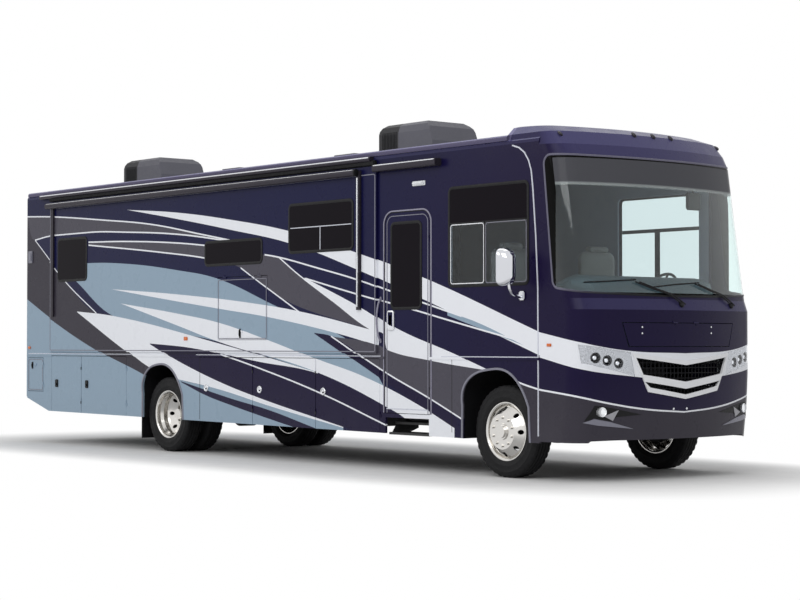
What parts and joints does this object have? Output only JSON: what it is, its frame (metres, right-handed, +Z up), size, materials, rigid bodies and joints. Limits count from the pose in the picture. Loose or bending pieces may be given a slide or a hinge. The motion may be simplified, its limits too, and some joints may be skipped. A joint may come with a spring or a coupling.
{
  "type": "class-A motorhome with a full-wall slide-out room",
  "caption": "Class-A motorhome with steered front wheels, twin rear wheels, full-wall slide-out room, hinged entry door, swinging steps, storage doors and front access panel.",
  "frame": {"origin": "on the ground under the middle of the overall box", "axes": "+X forward, +Y to the vehicle's left, +Z up"},
  "size_m": [11.335, 3.236, 3.9],
  "materials": {
    "body_paint": "metallic clear coat",
    "chassis_black": "satin black enamel",
    "spring_steel": "rolled",
    "cast_block": "as cast",
    "tank_steel": "matt black",
    "exhaust_steel": "aluminised",
    "floor_panel": "sealed board",
    "liner_grey": "moulded",
    "roof_skin": "gel coat",
    "clear_glass": "laminated, lightly tinted",
    "dark_glass": "deep tint",
    "grille_chrome": "bright",
    "lamp_reflector": "bright",
    "lamp_lens": "clear",
    "amber_lens": "ribbed",
    "mirror_chrome": "bright",
    "matte_black": "grained",
    "cooler_shroud": "moulded",
    "aluminium_tube": "anodised",
    "dash_plastic": "soft grain",
    "seat_leather": "light grey",
    "awning_black": "satin",
    "wheel_leather": "black",
    "wheel_polish": "polished",
    "tyre_rubber": "black",
    "step_black": "grit coated"
  },
  "bodies": {
    "coach": {"frame_rails": "chassis_black", "axles": "chassis_black", "leaf_springs": "spring_steel", "engine": "cast_block", "fuel_tank": "tank_steel", "exhaust": "exhaust_steel", "floor": "floor_panel", "storage_boxes": "liner_grey", "side_wall_left": "body_paint", "side_wall_right": "body_paint", "roof": "roof_skin", "rear_cap": "body_paint", "front_cap": "body_paint", "windshield": "clear_glass", "side_windows": "dark_glass", "grille": "grille_chrome", "headlamps": "lamp_reflector", "lamp_lenses": "lamp_lens", "marker_lamps": "amber_lens", "mirrors": "mirror_chrome", "wipers": "matte_black", "air_conditioners": "cooler_shroud", "rear_ladder": "aluminium_tube", "wheel_liners": "matte_black", "dashboard": "dash_plastic", "cab_seats": "seat_leather", "grab_handle": "mirror_chrome", "wall_rollers": "awning_black"},
    "left_knuckle": {"knuckle_left": "chassis_black"},
    "right_knuckle": {"knuckle_right": "chassis_black"},
    "steering_link": {"tie_rod": "chassis_black"},
    "hand_wheel": {"steering_wheel": "wheel_leather"},
    "left_front_wheel": {"front_wheel_left": "wheel_polish", "front_tyre_left": "tyre_rubber"},
    "right_front_wheel": {"front_wheel_right": "wheel_polish", "front_tyre_right": "tyre_rubber"},
    "left_rear_wheels": {"rear_wheels_left": "wheel_polish", "rear_tyres_left": "tyre_rubber"},
    "right_rear_wheels": {"rear_wheels_right": "wheel_polish", "rear_tyres_right": "tyre_rubber"},
    "side_door": {"entry_door": "body_paint", "entry_door_window": "dark_glass"},
    "step_linkage": {"step_arms": "chassis_black"},
    "step_unit": {"step_treads": "step_black"},
    "slide_out": {"slide_room": "body_paint", "slide_windows": "dark_glass", "slide_awning": "awning_black"},
    "screen_lid": {"screen_door": "body_paint"},
    "hood_panel": {"front_hood": "body_paint"},
    "hatch_panel": {"rear_hatch": "body_paint"},
    "bay_right_1": {"bay_door_right_1": "body_paint"},
    "bay_right_2": {"bay_door_right_2": "body_paint"},
    "bay_right_3": {"bay_door_right_3": "body_paint"},
    "bay_right_4": {"bay_door_right_4": "body_paint"},
    "bay_right_5": {"bay_door_right_5": "body_paint"},
    "bay_left_1": {"bay_door_left_1": "body_paint"},
    "bay_left_2": {"bay_door_left_2": "body_paint"},
    "bay_left_3": {"bay_door_left_3": "body_paint"},
    "bay_left_4": {"bay_door_left_4": "body_paint"}
  },
  "joints": [
    {"name": "steer_left", "type": "hinge", "parent": "coach", "child": "left_knuckle", "pos_m": [4.3085, 0.93, 0.4675], "axis": [0, 0, 1], "range_deg": [-40, 40]},
    {"name": "steer_right", "type": "hinge", "parent": "coach", "child": "right_knuckle", "pos_m": [4.3085, -0.93, 0.4675], "axis": [0, 0, 1], "range_deg": [-40, 40]},
    {"name": "steer_link", "type": "hinge", "parent": "left_knuckle", "child": "steering_link", "pos_m": [4.1185, 0.93, 0.39], "axis": [0, 0, 1], "range_deg": [-40, 40]},
    {"name": "hand_wheel_turn", "type": "hinge", "parent": "coach", "child": "hand_wheel", "pos_m": [4.7035, 0.64, 1.905], "axis": [-0.8192, 0, 0.5736], "range_deg": [-480, 480]},
    {"name": "front_left_spin", "type": "hinge", "parent": "left_knuckle", "child": "left_front_wheel", "pos_m": [4.3085, 1.095, 0.4675], "axis": [0, 1, 0], "continuous": true},
    {"name": "front_right_spin", "type": "hinge", "parent": "right_knuckle", "child": "right_front_wheel", "pos_m": [4.3085, -1.095, 0.4675], "axis": [0, 1, 0], "continuous": true},
    {"name": "rear_left_spin", "type": "hinge", "parent": "coach", "child": "left_rear_wheels", "pos_m": [-1.9715, 0.935, 0.4675], "axis": [0, 1, 0], "continuous": true},
    {"name": "rear_right_spin", "type": "hinge", "parent": "coach", "child": "right_rear_wheels", "pos_m": [-1.9715, -0.935, 0.4675], "axis": [0, 1, 0], "continuous": true},
    {"name": "side_door_hinge", "type": "hinge", "parent": "coach", "child": "side_door", "pos_m": [3.217, -1.2915, 1.7], "axis": [0, 0, 1], "range_deg": [0, 100]},
    {"name": "step_swing", "type": "hinge", "parent": "coach", "child": "step_linkage", "pos_m": [2.8385, -1.06, 0.556], "axis": [-1, 0, 0], "range_deg": [0, 90]},
    {"name": "step_level", "type": "hinge", "parent": "step_linkage", "child": "step_unit", "pos_m": [2.8385, -0.88384, 0.47008], "axis": [-1, 0, 0], "range_deg": [-90, 0]},
    {"name": "slide_out_travel", "type": "slide", "parent": "coach", "child": "slide_out", "axis": [0, -1, 0], "range_m": [0, 0.61]},
    {"name": "screen_lid_hinge", "type": "hinge", "parent": "slide_out", "child": "screen_lid", "pos_m": [-0.19884, -1.3158, 2.1565], "axis": [-1, 0, 0], "range_deg": [0, 90]},
    {"name": "hood_hinge", "type": "hinge", "parent": "coach", "child": "hood_panel", "pos_m": [5.6595, 0, 1.5625], "axis": [0, -1, 0], "range_deg": [0, 75]},
    {"name": "hatch_hinge", "type": "hinge", "parent": "coach", "child": "hatch_panel", "pos_m": [-5.017, -1.2895, 0.93], "axis": [0, 0, 1], "range_deg": [0, 90]},
    {"name": "bay_right_1_hinge", "type": "hinge", "parent": "coach", "child": "bay_right_1", "pos_m": [-3.99016, -1.2895, 0.8], "axis": [0, 0, 1], "range_deg": [0, 90]},
    {"name": "bay_right_2_hinge", "type": "hinge", "parent": "coach", "child": "bay_right_2", "pos_m": [-2.8465, -1.2895, 0.8], "axis": [0, 0, 1], "range_deg": [0, 90]},
    {"name": "bay_left_1_hinge", "type": "hinge", "parent": "coach", "child": "bay_left_1", "pos_m": [-2.8465, 1.2895, 0.8], "axis": [0, 0, -1], "range_deg": [0, 90]},
    {"name": "bay_right_3_hinge", "type": "hinge", "parent": "coach", "child": "bay_right_3", "pos_m": [-0.01594, -1.2895, 0.8], "axis": [0, 0, 1], "range_deg": [0, 90]},
    {"name": "bay_left_2_hinge", "type": "hinge", "parent": "coach", "child": "bay_left_2", "pos_m": [-0.01594, 1.2895, 0.8], "axis": [0, 0, -1], "range_deg": [0, 90]},
    {"name": "bay_right_4_hinge", "type": "hinge", "parent": "coach", "child": "bay_right_4", "pos_m": [1.21923, -1.2895, 0.8], "axis": [0, 0, 1], "range_deg": [0, 90]},
    {"name": "bay_left_3_hinge", "type": "hinge", "parent": "coach", "child": "bay_left_3", "pos_m": [1.21923, 1.2895, 0.8], "axis": [0, 0, -1], "range_deg": [0, 90]},
    {"name": "bay_right_5_hinge", "type": "hinge", "parent": "coach", "child": "bay_right_5", "pos_m": [2.3805, -1.2895, 0.8], "axis": [0, 0, 1], "range_deg": [0, 90]},
    {"name": "bay_left_4_hinge", "type": "hinge", "parent": "coach", "child": "bay_left_4", "pos_m": [2.3805, 1.2895, 0.8], "axis": [0, 0, -1], "range_deg": [0, 90]}
  ],
  "couplings": [
    {"joint": "steer_right", "follows": "steer_left", "ratio": 1},
    {"joint": "steer_link", "follows": "steer_left", "ratio": -1},
    {"joint": "hand_wheel_turn", "follows": "steer_left", "ratio": 12},
    {"joint": "step_level", "follows": "step_swing", "ratio": -1}
  ]
}
